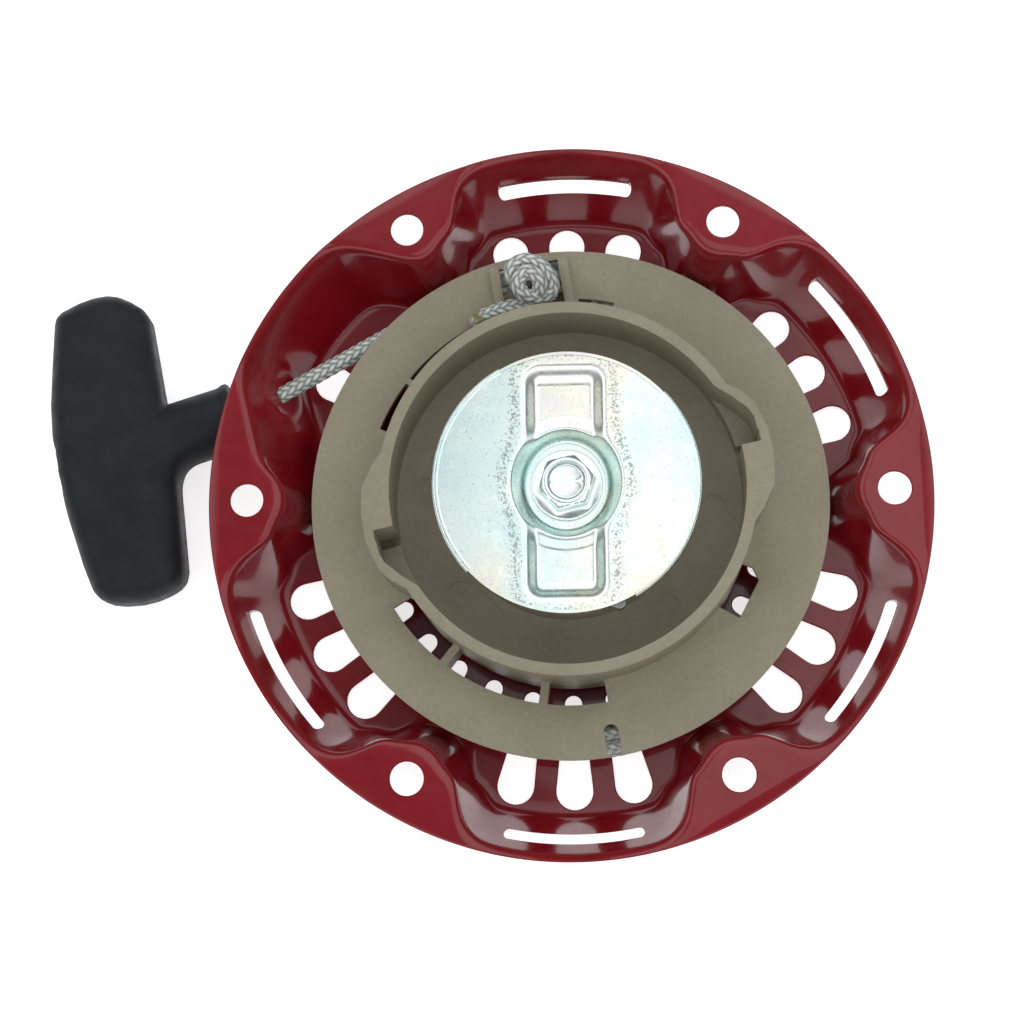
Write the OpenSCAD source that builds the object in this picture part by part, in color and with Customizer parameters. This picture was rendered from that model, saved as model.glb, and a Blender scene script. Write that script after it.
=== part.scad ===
// Recoil starter for a small single-cylinder engine.
// Origin: centre of the six-bolt circle, in the mounting plane of the flange.
// +Z runs along the starter's axis towards the engine; all sizes are in millimetres.

/* [Housing] */
// Diameter of the six-bolt circle in the mounting flange
bolt_circle_d = 175; // [174:0.5:176]
// Diameter of each mounting hole
bolt_hole_d = 9; // [7:0.5:9.5]
// Outer diameter of the housing's rim
rim_d = 196; // [195:0.5:198]
// Depth of the bowl from the mounting plane to the floor
bowl_depth = 27; // [27:0.5:30]
// Thickness of the pressed steel sheet
sheet = 1.2; // [1:0.1:1.4]

/* [Reel] */
// Diameter of the reel's upper flange
reel_d = 142; // [141:0.5:143]
// Inner diameter of the cup in the middle of the reel
cup_d = 94.6; // [94:0.2:95]
// Height of the cup's rim above the mounting plane
cup_top = 12; // [10:0.5:13]

/* [Guide plate] */
// Outer diameter of the ratchet guide plate over its lips
guide_d = 71; // [70:0.5:72]
// Height of the guide plate's face above the mounting plane
guide_top = 18; // [18:0.1:18.4]

/* [Rope] */
// Diameter of the braided starter rope
rope_d = 4.6; // [4:0.1:4.7]

/* [Handle] */
// Diameter of the handle's neck
neck_d = 18.4; // [17:0.2:18.4]
// Thickness of the handle's crossbar at its middle
bar_t = 22; // [20:0.5:22]

/* [Hidden] */

fine = 96;
small = 48;
far = 200;

// Housing: a bowl with six lobes between six bolt pads
floor_z = -bowl_depth;
under_z = floor_z - sheet;
lobe_slope = 0.411;
lobe_r = rim_d / 2 - sheet * 1.15;
pad_pitch = 60;
pad_c = bolt_circle_d / 2;
pad_r = 10;
pad_draft = 14;
side_normal = 138;
fillet_r = 14;
fillet_sweep = 34;
fillet_reach = lobe_r - fillet_r;
fillet_a = side_normal - acos((pad_r + fillet_r + pad_c * cos(side_normal)) / fillet_reach);
fillet_c = fillet_reach * [cos(fillet_a), sin(fillet_a)];
plain_lobes = [30, 90, 210, 270, 330];
rope_lobe = 150;
slot_in = [54.4, 2.4];
slot_out = [78.4, 5.1];
rope_lobe_slot_in = [68, 4];
short_slot_out = [65.5, 3.6];
slit_mid = rim_d / 2 - 6.2;
slit_w = 2.7;
slit_half_a = 11;

// Rope: level of the winding, the hole in the bowl's wall and the two straight runs
rope_r = rope_d / 2;
rope_z = -16;
hole_at = [-80.6, 33.4, rope_z];
run_a = 208.9;
rope_hole_r = 3;
boss_r = 7.5;
boss_recess_r = 6.3;
run_start = -30.4;
run_end = 1.8;
wound_r = 68.3;
layer_step = 3.9;
turn_step = 2.2;

// Handle: its own frame has +X along the neck, away from the bowl
pull_a = 197;
neck_start = 14.1;
neck_shift = 2.2;
neck_end = 44;
neck_r = neck_d / 2;
bead_r = neck_r + 0.8;
rope_bore_r = 2.7;
knot_recess_x = 54;
grip_at = hole_at + neck_shift * [cos(pull_a + 90), sin(pull_a + 90), 0];
mouth_at = grip_at + neck_start * [cos(pull_a), sin(pull_a), 0];

// Reel levels and radii
reel_r = reel_d / 2;
flange_top = -8.5;
flange_t = 2;
channel_top = flange_top - flange_t;
channel_floor = -21.5;
drum_r = 62;
drum_wall = 2.5;
lower_flange_r = 70;
cup_r = cup_d / 2;
cup_wall = 3;
barrel_floor = -25.5;
barrel_r = 47;
cup_floor_t = 2.5;
skirt_r = 33;
platform_z = 4;
hub_r = 12.5;
hub_top = 6.4;
hub_floor = -12;
window_r = 56.3;
pocket_a = 12.2;
ledge_z = -3;
knot_a = 98.9;
knot_half_w = 8.3;
knot_rib = 2.6;
knot_out = 68.2;
rib_count = 12;
rib_a = 22;

// Post, bolt and ratchet parts
post_r = 8;
post_flange_top = floor_z + 1.6;
shoulder_z = 6.5;
stub_r = 6.5;
stub_top = 11.6;
spigot_r = 7;
bolt_r = 4;
bolt_af = 13;
running = 0.08;
pivot_r = 17;
pivot_a = 60;
pin_r = 2.5;
pawl_z = platform_z + 0.2;
pawl_t = 4;
pawl_len = 27;
pawl_tip_a = 143.5;
pawl_head_r = 4.2;
nub_at = [8.25, 135.6];
stop_at = [7.7, 343.4];
peg_reach = 10;
peg_shift = -0.25;
peg_r = 1.8;
peg_top = guide_top - 1.6;
lip_a0 = 120;
lip_sweep = 102;
plate_t = 1.2;

// A plain ring between two radii and two heights
module ring(r_in, r_out, z0, z1) {
    translate([0, 0, z0])
        difference() {
            cylinder(h = z1 - z0, r = r_out, $fn = fine);
            translate([0, 0, -1])
                cylinder(h = z1 - z0 + 2, r = r_in, $fn = fine);
        }
}

// A ring cut to a stretch of angle
module arc_ring(r_in, r_out, z0, z1, a0, a1) {
    rotate([0, 0, a0])
        rotate_extrude(angle = a1 - a0, $fn = fine)
            translate([r_in, z0])
                square([r_out - r_in, z1 - z0]);
}

// A round bar along +X of the current frame
module x_bar(x0, x1, r) {
    translate([x0, 0, 0])
        rotate([0, 90, 0])
            cylinder(h = x1 - x0, r = r, $fn = small);
}

function polar(r, a) = [r * cos(a), r * sin(a)];

// Unit vector to the right of a path at point i, in the level plane
function path_right(path, i) =
    let (a = path[max(i - 1, 0)], b = path[min(i + 1, len(path) - 1)], d = [b.y - a.y, a.x - b.x, 0])
        d / norm(d);

// A round wire swept along a nearly level path
module wire(path, wire_r, sides) {
    last = len(path) - 1;
    points = [for (i = [0:last], j = [0:sides - 1])
        let (b = 360 * j / sides)
            path[i] + wire_r * (cos(b) * path_right(path, i) + sin(b) * [0, 0, 1])];
    skin = [for (i = [0:last - 1], j = [0:sides - 1])
        let (k = (j + 1) % sides)
            [i * sides + j, i * sides + k, (i + 1) * sides + k, (i + 1) * sides + j]];
    ends = [[for (j = [sides - 1:-1:0]) j], [for (j = [0:sides - 1]) last * sides + j]];
    polyhedron(points = points, faces = concat(skin, ends), convexity = 6);
}

// Points of a rising coil from angle a0, anticlockwise, that starts at height z0
function coil(coil_r, z0, pitch, a0, turns) = let (steps = ceil(turns * 20))
    [for (i = [0:steps]) let (a = a0 + 360 * turns * i / steps)
        [coil_r * cos(a), coil_r * sin(a), z0 + pitch * turns * i / steps]];

// ---- Housing ----

// Half of a bolt pad's outline, offset outwards by grow
function pad_half(grow) = concat(
    [for (i = [0:5]) let (n = 180 + (side_normal - 180) * i / 5) [pad_c, 0] + (pad_r + grow) * polar(1, n)],
    [for (i = [0:5]) let (n = side_normal + fillet_sweep * i / 5) fillet_c - (fillet_r - grow) * polar(1, n)],
    [fillet_c - (fillet_r - grow) * polar(1, side_normal + fillet_sweep)
        + 10 * polar(1, side_normal + fillet_sweep - 90)],
    [[rim_d / 2 + 20, 34]]);

function pad_outline(grow) = let (half = pad_half(grow), n = len(half))
    concat([for (i = [0:n - 1]) half[i]], [for (i = [n - 1:-1:1]) [half[i].x, -half[i].y]]);

// The raised pad round one bolt hole, with drafted sides
module pad_block(inset, z_top, z_low) {
    draft = tan(pad_draft);
    top = pad_outline(-z_top * draft - inset);
    low = pad_outline(-z_low * draft - inset);
    n = len(top);
    points = concat([for (p = top) [p.x, p.y, z_top]], [for (p = low) [p.x, p.y, z_low]]);
    sides = [for (i = [0:n - 1]) [(i + 1) % n, i, n + i, n + (i + 1) % n]];
    strips = [for (i = [0:(n - 3) / 2]) i == 0 ? [0, 1, n - 1] : [i, i + 1, n - i - 1, n - i]];
    caps = concat(strips, [for (s = strips) [for (k = [len(s) - 1:-1:0]) n + s[k]]]);
    polyhedron(points = points, faces = concat(caps, sides), convexity = 4);
}

module around_pads() {
    for (a = [0:pad_pitch:359])
        rotate([0, 0, a])
            children();
}

module bowl_cone(r_top, z0, z1) {
    translate([0, 0, z0])
        cylinder(h = z1 - z0, r1 = r_top + z0 * lobe_slope, r2 = r_top + z1 * lobe_slope, $fn = fine);
}

module bowl_inside() {
    difference() {
        bowl_cone(lobe_r, floor_z, 1);
        around_pads()
            pad_block(0, 2, floor_z - 1);
    }
}

module bowl_outside() {
    difference() {
        bowl_cone(rim_d / 2, under_z, 0);
        around_pads()
            pad_block(sheet / cos(pad_draft), -sheet, under_z - 1);
    }
}

// A cooling slot, narrow towards the axis, with round ends
module vent_slot(inner, outer) {
    low = under_z - 1;
    high = sheet + 2;
    for (end = [inner, outer])
        translate([end.x, 0, low])
            cylinder(h = high, r = end.y, $fn = small);
    translate([0, 0, low])
        linear_extrude(height = high)
            polygon([[inner.x, -inner.y * 0.98], [outer.x, -outer.y * 0.98],
                [outer.x, outer.y * 0.98], [inner.x, inner.y * 0.98]]);
}

// Five slots in each lobe, but one short one in the lobe with the rope's hole
module vent_slots() {
    for (lobe = plain_lobes, step = [-2:2])
        rotate([0, 0, lobe + 12 * step])
            vent_slot(slot_in, abs(step) == 2 ? short_slot_out : slot_out);
    rotate([0, 0, rope_lobe])
        vent_slot(rope_lobe_slot_in, slot_out);
}

module rim_slits() {
    for (lobe = plain_lobes) {
        arc_ring(slit_mid - slit_w / 2, slit_mid + slit_w / 2, under_z - 1, 1,
            lobe - slit_half_a, lobe + slit_half_a);
        for (side = [-1, 1])
            rotate([0, 0, lobe + side * slit_half_a])
                translate([slit_mid, 0, under_z - 1])
                    cylinder(h = bowl_depth + 3, r = slit_w / 2 + 0.06, $fn = small);
    }
}

module at_rope_hole() {
    translate(hole_at)
        rotate([0, 0, run_a])
            children();
}

module housing() {
    color("#8a141c")
        difference() {
            union() {
                difference() {
                    bowl_outside();
                    bowl_inside();
                }
                intersection() {
                    at_rope_hole()
                        x_bar(0, 14, boss_r);
                    bowl_cone(rim_d / 2 - 0.2, under_z, 0);
                }
            }
            around_pads()
                translate([pad_c, 0, -sheet - 1])
                    cylinder(h = sheet + 2, d = bolt_hole_d, $fn = fine);
            vent_slots();
            rim_slits();
            at_rope_hole() {
                x_bar(sheet, 20, boss_recess_r);
                x_bar(-2, 6, rope_hole_r);
            }
            translate([0, 0, under_z - 1])
                cylinder(h = sheet + 2, r = spigot_r + 0.02, $fn = small);
        }
}

// ---- Fixed centre ----

module centre_post() {
    color("#9a9c9c")
        difference() {
            union() {
                translate([0, 0, under_z])
                    cylinder(h = sheet + 1, r = spigot_r, $fn = small);
                ring(0.5, 14, floor_z, post_flange_top);
                translate([0, 0, floor_z + 0.5])
                    cylinder(h = shoulder_z - floor_z - 0.5, r = post_r, $fn = fine);
                translate([0, 0, shoulder_z - 1])
                    cylinder(h = stub_top - shoulder_z + 1, r = stub_r, $fn = fine);
            }
            translate([0, 0, -8])
                cylinder(h = far, r = bolt_r + 0.02, $fn = small);
            translate([5.4, -1.2, post_flange_top + 0.2])
                cube([8, 1.6, 13.2]);
        }
}

// Centre line of the spring strip: close turns at the barrel's wall, then in to the post
spring_turns = 8.5;
spring_out_r = barrel_r - 0.8;
spring_in_r = 9.4;
spring_pitch = 1.35;
spring_close = 0.82;
function spring_r(t) = t < spring_close
    ? spring_out_r - spring_pitch * spring_turns * t
    : let (u = (t - spring_close) / (1 - spring_close), r0 = spring_out_r - spring_pitch * spring_turns * spring_close)
        r0 + (spring_in_r - r0) * u;

module recoil_spring() {
    strip = 0.8;
    steps = 170;
    path = [for (i = [0:steps]) let (t = i / steps) [spring_r(t), -360 * spring_turns * (t - 1)]];
    hook = [[spring_in_r + strip / 2, -strip], [6, -strip], [6, 0]];
    outline = concat([for (p = path) polar(p.x + strip / 2, p.y)], hook,
        [for (i = [steps:-1:0]) polar(path[i].x - strip / 2, path[i].y)]);
    color("#5b5f63")
        translate([0, 0, post_flange_top + 0.5])
            linear_extrude(height = 12.2)
                polygon(outline);
}

module guide_bolt() {
    flange_z = stub_top + 0.05;
    head_z = flange_z + 1.3;
    color("#c9d6d4")
        difference() {
            union() {
                translate([0, 0, flange_z])
                    cylinder(h = 1.3, r = 9.6, $fn = fine);
                translate([0, 0, head_z - 0.1])
                    cylinder(h = 5.3, d = bolt_af / cos(30), $fn = 6);
                translate([0, 0, -6])
                    cylinder(h = head_z + 6, r = bolt_r, $fn = small);
            }
            translate([0, 0, head_z + 3.9])
                cylinder(h = 2, r = 4.4, $fn = small);
        }
}

// ---- Reel ----

// Outline of the thickened cheek beside each pocket, from the cup's wall outwards
cheek = [[49, -16], [52.2, -7.2], [54.6, -0.5], [55.1, 7], [55.2, 15], [54.3, 24], [52.6, 28], [49.6, 33.5],
    [48.5, 33.5], [48.5, 21], [48.5, 8.7], [48.5, -3.6], [48.5, -16]];
// Outline of the pocket inside a cheek
pocket = [[46, 12.2], [52.6, 12.2], [52.8, 19.5], [52.2, 22.4], [49.7, 28], [47, 34.5], [46, 34]];

module polar_block(outline, z0, z1) {
    translate([0, 0, z0])
        linear_extrude(height = z1 - z0)
            polygon([for (p = outline) polar(p.x, p.y)]);
}

module reel_body() {
    difference() {
        ring(cup_r + 1, reel_r, channel_top, flange_top);
        reel_windows();
    }
    ring(barrel_r, cup_r + cup_wall, barrel_floor, flange_top);
    for (turn = [0, 180])
        rotate([0, 0, turn])
            polar_block(cheek, flange_top - flange_t - 0.3, flange_top);
    ring(skirt_r - 3, cup_r + 1, flange_top - cup_floor_t, flange_top);
    ring(skirt_r - 2.5, skirt_r, flange_top - cup_floor_t, platform_z);
    ring(post_r + 1, skirt_r, platform_z - 3, platform_z);
    ring(post_r + 1, hub_r, hub_floor, hub_top);
    ring(drum_r - drum_wall, drum_r, channel_floor - flange_t, flange_top - 0.5);
    ring(drum_r - drum_wall, lower_flange_r, channel_floor - flange_t, channel_floor);
    for (i = [0:rib_count - 1])
        rotate([0, 0, rib_a + i * 360 / rib_count])
            translate([cup_r + 1, -0.9, channel_floor])
                cube([drum_r - drum_wall - cup_r, 1.8, channel_top - channel_floor + 0.5]);
    for (i = [0:5])
        rotate([0, 0, 30 + i * 60])
            translate([hub_r - 1, -1, hub_floor + 2])
                cube([skirt_r - hub_r - 1, 2, platform_z - hub_floor - 4]);
    for (turn = [0, 180])
        rotate([0, 0, turn])
            at_pivot()
                translate([0, 0, platform_z - 1]) {
                    cylinder(h = 7.4, r = pin_r, $fn = small);
                    translate(polar(stop_at.x, stop_at.y))
                        cylinder(h = 6.6, r = 1.2, $fn = small);
                }
    knot_walls();
}

// Walls and floor of the pocket that holds the rope's anchor knot, clear of the cup's wall
module knot_walls() {
    from = cup_r + 1;
    rotate([0, 0, knot_a]) {
        for (side = [-1, 1])
            translate([from, side * (knot_half_w + knot_rib / 2) - knot_rib / 2, 0]) {
                translate([0, 0, -15.5])
                    cube([drum_r - from - 1, knot_rib, 6]);
                translate([0, 0, channel_top])
                    cube([knot_out - from, knot_rib, flange_t]);
            }
        difference() {
            for (side = [-1, 1])
                translate([from, side * (knot_half_w + knot_rib / 2) - knot_rib / 2, flange_top - 0.5])
                    cube([knot_out - from, knot_rib, 3.5]);
            translate([0, 0, flange_top - 1])
                cylinder(h = 10, r = cup_r + cup_wall + 0.05, $fn = fine);
        }
        translate([from, -knot_half_w - 1, -15.5])
            cube([drum_r - from - 1, 2 * knot_half_w + 2, 1.6]);
    }
}

module knot_pocket() {
    rotate([0, 0, knot_a]) {
        translate([cup_r + cup_wall + 0.3, -knot_half_w, -13.9])
            cube([drum_r - drum_wall - cup_r - cup_wall - 0.3, 2 * knot_half_w, 12]);
        translate([drum_r - drum_wall - 1, -knot_half_w, -11.3])
            cube([knot_out - drum_r + drum_wall + 1, 2 * knot_half_w, 12]);
        translate([0, 0, -13.5 + rope_r])
            x_bar(cup_r + cup_wall + 2, drum_r + 0.5, 2.6);
    }
}

// Windows in the flange, between the cup's wall and a circle outside it, and the rope's notch
module reel_windows() {
    low = channel_top - 1;
    high = flange_top - low + 1;
    for (w = [[-149, -129.2], [-126.8, -99.2], [-96.8, -80], [112.9, 141.1], [142.9, 158]])
        arc_ring(cup_r + 0.5, window_r, low, low + high, w[0], w[1]);
    arc_ring(cup_r + 0.5, window_r + 1, low, low + high, 76.5, 86.5);
    polar_block([[48, -21.6], [53.2, -21.6], [56.1, -24.3], [56.5, -36.2], [48, -37.4]], low, low + high);
    rotate([0, 0, -80.7]) {
        translate([64.3, 0, low])
            cylinder(h = high, r = 2, $fn = small);
        translate([64.3, -1.95, low])
            cube([20, 3.9, high]);
    }
}

module reel() {
    color("#8f8470")
        difference() {
            reel_body();
            knot_pocket();
            for (i = [0:7])
                rotate([0, 0, 40.7 + 45 * i])
                    translate([39.4, 0, flange_top - 0.3])
                        cylinder(h = 1, r = 3.7, $fn = small);
            translate([0, 0, hub_floor - 1])
                cylinder(h = hub_top - hub_floor + 2, r = post_r + running, $fn = fine);
        }
}

// The cup's wall above the flange, with a thickened cheek and a pocket on each side
module reel_cup() {
    color("#8f8470")
        difference() {
            union() {
                ring(cup_r, cup_r + cup_wall, flange_top, cup_top);
                for (turn = [0, 180])
                    rotate([0, 0, turn])
                        polar_block(cheek, flange_top, cup_top);
            }
            for (turn = [0, 180])
                rotate([0, 0, turn]) {
                    polar_block(pocket, ledge_z, cup_top + 1);
                    polar_block([[46, 12.2], [52.6, 12.2], [52.8, 15.5], [46, 15.5]], flange_top - 1, cup_top);
                }
        }
}

// ---- Ratchet ----

module at_pivot() {
    rotate([0, 0, pivot_a])
        translate([pivot_r, 0, 0])
            rotate([0, 0, -pivot_a])
                children();
}

// A pawl that lies under the guide plate, with its tip forward and its peg beside the plate's arm
module pawl() {
    tip = polar(pawl_len, pawl_tip_a);
    peg = polar(peg_reach, pivot_a) + polar(peg_shift, pivot_a - 90);
    color("#8d9092")
        at_pivot()
            difference() {
                union() {
                    translate([0, 0, pawl_z]) {
                        cylinder(h = pawl_t, r = pawl_head_r, $fn = small);
                        translate([tip.x, tip.y, 0])
                            cylinder(h = pawl_t, r = 1.8, $fn = small);
                        translate([peg.x, peg.y, 0])
                            cylinder(h = pawl_t, r = 3, $fn = small);
                        linear_extrude(height = pawl_t)
                            polygon([polar(pawl_head_r - 0.1, 250), tip + polar(1.7, 225), tip + polar(1.7, 60),
                                peg + polar(2.9, 100), peg + polar(2.9, -20), polar(pawl_head_r - 0.1, -20)]);
                    }
                    translate([peg.x, peg.y, pawl_z + 1])
                        cylinder(h = peg_top - pawl_z - 1, r = peg_r, $fn = small);
                    translate([polar(nub_at.x, nub_at.y).x, polar(nub_at.x, nub_at.y).y, pawl_z + 1])
                        cylinder(h = 5.6, r = 1, $fn = small);
                }
                translate([0, 0, pawl_z - 1])
                    cylinder(h = pawl_t + 2, r = pin_r + running, $fn = small);
            }
}

module pawl_a() {
    pawl();
}

module pawl_b() {
    rotate([0, 0, 180])
        pawl();
}

// A light torsion spring on the pivot, above the pawl, with a straight leg at each end
module pawl_spring() {
    wire_r = 0.35;
    coil_r = 3.4;
    pitch = 0.75;
    turns = 2;
    low = pawl_z + pawl_t + wire_r + 0.1;
    turn_on = coil(coil_r, low, pitch, 60, turns);
    lower_leg = turn_on[0] - 9 * [cos(150), sin(150), 0];
    upper_leg = turn_on[len(turn_on) - 1] + 9 * [cos(150), sin(150), 0];
    color("#b9bdbf")
        at_pivot()
            wire(concat([lower_leg], turn_on, [upper_leg]), wire_r, 8);
}

module pawl_spring_a() {
    pawl_spring();
}

module pawl_spring_b() {
    rotate([0, 0, 180])
        pawl_spring();
}

module friction_spring() {
    color("#a9adaf")
        wire(coil(9, hub_top + 0.7, 1.08, 0, 2.4), 0.5, 8);
}

// A pocket with drafted sides: half sizes at its mouth and at its floor, rounded corners
module drafted_pocket(mouth, low, z_mouth, z_low, corner) {
    hull()
        for (sx = [-1, 1], sy = [-1, 1]) {
            translate([sx * (mouth.x - corner), sy * (mouth.y - corner), z_mouth - 0.01])
                cylinder(h = 0.01, r = corner, $fn = 32);
            translate([sx * (low.x - corner / 2), sy * (low.y - corner / 2), z_low])
                cylinder(h = 0.01, r = corner / 2, $fn = 32);
        }
}

module guide_plate() {
    rim = guide_d / 2;
    face = rim - 0.7;
    under = guide_top - plate_t;
    arm_z = guide_top - 3;
    bowl_z = stub_top - 0.15;
    color("#c3dbd8")
        difference() {
            union() {
                translate([0, 0, under])
                    cylinder(h = plate_t, r = face, $fn = fine);
                for (turn = [0, 180])
                    arc_ring(rim - plate_t, rim, guide_top - 3.4, guide_top - 0.2,
                        lip_a0 + turn, lip_a0 + lip_sweep + turn);
                drafted_pocket([12.6, 33.4], [8.7, 30.5], guide_top - 0.2, arm_z - plate_t, 5);
                translate([0, 0, bowl_z - plate_t])
                    cylinder(h = under - bowl_z + plate_t + 0.5, r1 = 11.9, r2 = 16.2, $fn = fine);
            }
            drafted_pocket([11.4, 32.3], [7.5, 29.3], guide_top + 0.1, arm_z, 5);
            translate([0, 0, bowl_z])
                cylinder(h = guide_top - bowl_z + 0.1, r1 = 10.6, r2 = 15.2, $fn = fine);
            cylinder(h = far, r = stub_r + 0.1, $fn = fine);
        }
}

// ---- Rope ----

module rope_wound() {
    color("#c9cdc6")
        rotate_extrude($fn = fine)
            for (layer = [0, 1], side = [-1, 1])
                translate([wound_r - layer * layer_step, rope_z + side * turn_step])
                    circle(r = rope_r, $fn = small);
}

module rope_anchor_knot() {
    color("#c9cdc6")
        rotate([0, 0, knot_a])
            translate([58.3, 0, -5.6]) {
                translate([-1.5, 1.2, 0])
                    sphere(r = 5.9, $fn = small);
                translate([2.2, 0.5, 4.2])
                    sphere(r = 5.4, $fn = small);
                translate([-1, -2.5, 3.2])
                    sphere(r = 4.9, $fn = small);
            }
}

module rope_tail() {
    color("#c9cdc6")
        translate([0, 0, -5.6])
            rotate([0, 0, knot_a + 12.3])
                rotate_extrude(angle = 9, $fn = fine)
                    translate([cup_r + cup_wall + rope_r + 0.9, 0])
                        circle(r = rope_r, $fn = small);
}

module rope_run() {
    color("#c9cdc6")
        at_rope_hole()
            x_bar(run_start, run_end, rope_r);
}

module rope_pull() {
    from = hole_at + (run_end + 0.5) * [cos(run_a), sin(run_a), 0];
    to = mouth_at;
    reach = norm(to - from);
    color("#c9cdc6")
        translate(from)
            rotate([0, 0, atan2(to.y - from.y, to.x - from.x)])
                x_bar(0, reach - 0.5, rope_r);
}

module at_grip() {
    translate(grip_at)
        rotate([0, 0, pull_a])
            children();
}

module rope_in_grip() {
    color("#c9cdc6")
        at_grip()
            x_bar(neck_start + 0.1, knot_recess_x + 2.1, rope_r);
}

// ---- Handle ----

module ball(x, y, z, r) {
    translate([x, y - neck_shift, z])
        sphere(r = r, $fn = 32);
}

module crossbar() {
    mid_r = bar_t / 2;
    end_r = mid_r - 2;
    hull() {
        ball(39, -33.8, 0, end_r);
        ball(48.6, -34.1, 0, end_r);
        ball(54.2, -11.8, 0, mid_r - 0.6);
        ball(44.2, 3.2, 0, mid_r);
        ball(56.1, 10.2, 0, mid_r);
    }
    hull() {
        ball(44.2, 3.2, 0, mid_r);
        ball(56.1, 10.2, 0, mid_r);
        ball(48.6, 36.7, 0, end_r);
        ball(57.1, 36.5, 0, end_r);
    }
}

module handle_grip() {
    color("#232527")
        at_grip()
            difference() {
                union() {
                    crossbar();
                    x_bar(neck_start, neck_end, neck_r);
                    x_bar(neck_start, neck_start + 2, bead_r);
                }
                x_bar(neck_start - 1, knot_recess_x + 1, rope_bore_r);
                for (side = [-1, 1])
                    translate([0, side * 4, 0])
                        x_bar(knot_recess_x, far, 6.5);
                translate([knot_recess_x, -4, -6.4])
                    cube([30, 8, 12.8]);
            }
}

module grip_plate() {
    color("#a7abad")
        at_grip()
            difference() {
                translate([knot_recess_x, -7, -4.5])
                    cube([1.6, 14, 9]);
                x_bar(knot_recess_x - 1, knot_recess_x + 3, rope_bore_r);
            }
}

module grip_knot() {
    color("#c9cdc6")
        at_grip()
            translate([knot_recess_x + 7, 0, 0]) {
                translate([0, -1.4, 0.4])
                    sphere(r = 4.8, $fn = small);
                translate([0.8, 2, -0.4])
                    sphere(r = 4.4, $fn = small);
            }
}

housing();
centre_post();
recoil_spring();
reel();
reel_cup();
pawl_a();
pawl_b();
pawl_spring_a();
pawl_spring_b();
friction_spring();
guide_plate();
guide_bolt();
rope_wound();
rope_anchor_knot();
rope_tail();
rope_run();
rope_pull();
rope_in_grip();
handle_grip();
grip_plate();
grip_knot();
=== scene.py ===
import math

import bmesh
import bpy
import numpy as np
from mathutils import Matrix, Vector


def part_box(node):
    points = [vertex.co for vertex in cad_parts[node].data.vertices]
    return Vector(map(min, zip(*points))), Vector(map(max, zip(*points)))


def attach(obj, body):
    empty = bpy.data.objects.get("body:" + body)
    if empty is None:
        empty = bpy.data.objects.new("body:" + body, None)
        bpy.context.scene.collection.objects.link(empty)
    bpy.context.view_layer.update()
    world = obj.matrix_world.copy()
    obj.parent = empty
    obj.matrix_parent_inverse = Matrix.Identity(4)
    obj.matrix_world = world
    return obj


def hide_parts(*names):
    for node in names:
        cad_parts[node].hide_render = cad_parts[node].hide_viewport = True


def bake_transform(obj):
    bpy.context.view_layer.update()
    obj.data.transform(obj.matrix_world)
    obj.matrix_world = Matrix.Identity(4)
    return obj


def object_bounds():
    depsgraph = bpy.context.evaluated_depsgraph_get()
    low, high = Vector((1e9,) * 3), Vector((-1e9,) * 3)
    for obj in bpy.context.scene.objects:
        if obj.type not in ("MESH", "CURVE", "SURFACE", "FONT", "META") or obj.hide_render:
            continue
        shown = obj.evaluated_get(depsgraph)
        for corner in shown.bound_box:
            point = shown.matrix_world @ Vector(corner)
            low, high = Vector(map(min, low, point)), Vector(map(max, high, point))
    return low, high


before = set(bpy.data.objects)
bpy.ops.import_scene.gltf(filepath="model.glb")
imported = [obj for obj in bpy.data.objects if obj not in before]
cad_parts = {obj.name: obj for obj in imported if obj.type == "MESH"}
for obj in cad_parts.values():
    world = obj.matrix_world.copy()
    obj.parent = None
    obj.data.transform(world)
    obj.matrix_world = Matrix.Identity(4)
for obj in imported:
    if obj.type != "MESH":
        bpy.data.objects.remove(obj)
cad_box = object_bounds()

MM = 0.001


# ---------------------------------------------------------------- mesh helpers

def polar(radius, degrees):
    a = np.radians(degrees)
    return np.stack([radius * np.cos(a), radius * np.sin(a)], axis=-1)


def direction(degrees):
    """Unit vector in the level plane."""
    return np.array([*polar(1, degrees), 0])


def turned(outline, degrees):
    c, s = math.cos(math.radians(degrees)), math.sin(math.radians(degrees))
    return outline @ np.array([[c, s], [-s, c]])


def placed(points, degrees, at=(0, 0, 0)):
    """Points turned about Z and then moved."""
    points = np.asarray(points, float)
    xy = turned(points[:, :2], degrees)
    return np.column_stack([xy, points[:, 2]]) + np.asarray(at)


def ease(x):
    """From 0 to 1 in a smooth step."""
    x = np.clip(x, 0, 1)
    return x * x * (3 - 2 * x)


def soft_ramp(x, ends=0.2):
    """From 0 to 1 in a straight slope with rounded ends."""
    x = np.clip(x, 0, 1)
    top = 1 / (1 - ends)
    curve = np.where(x < ends, top * x * x / (2 * ends), top * (x - ends / 2))
    return np.where(x > 1 - ends, 1 - top * (1 - x) ** 2 / (2 * ends), curve)


def soft_min(a, b, reach):
    """The smaller of two values, with the corner between them rounded."""
    overlap = np.maximum(reach - np.abs(a - b), 0)
    return np.minimum(a, b) - overlap ** 2 / (4 * reach)


def new_object(name, points_mm, faces, smooth=True):
    """An object from points in millimetres, in the part's own frame."""
    mesh = bpy.data.meshes.new(name)
    mesh.from_pydata((np.asarray(points_mm) * MM).tolist(), [], [list(map(int, f)) for f in faces])
    mesh.validate()
    mesh.update()
    mesh.polygons.foreach_set("use_smooth", [smooth] * len(mesh.polygons))
    made = bpy.data.objects.new(name, mesh)
    bpy.context.scene.collection.objects.link(made)
    return made


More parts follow.
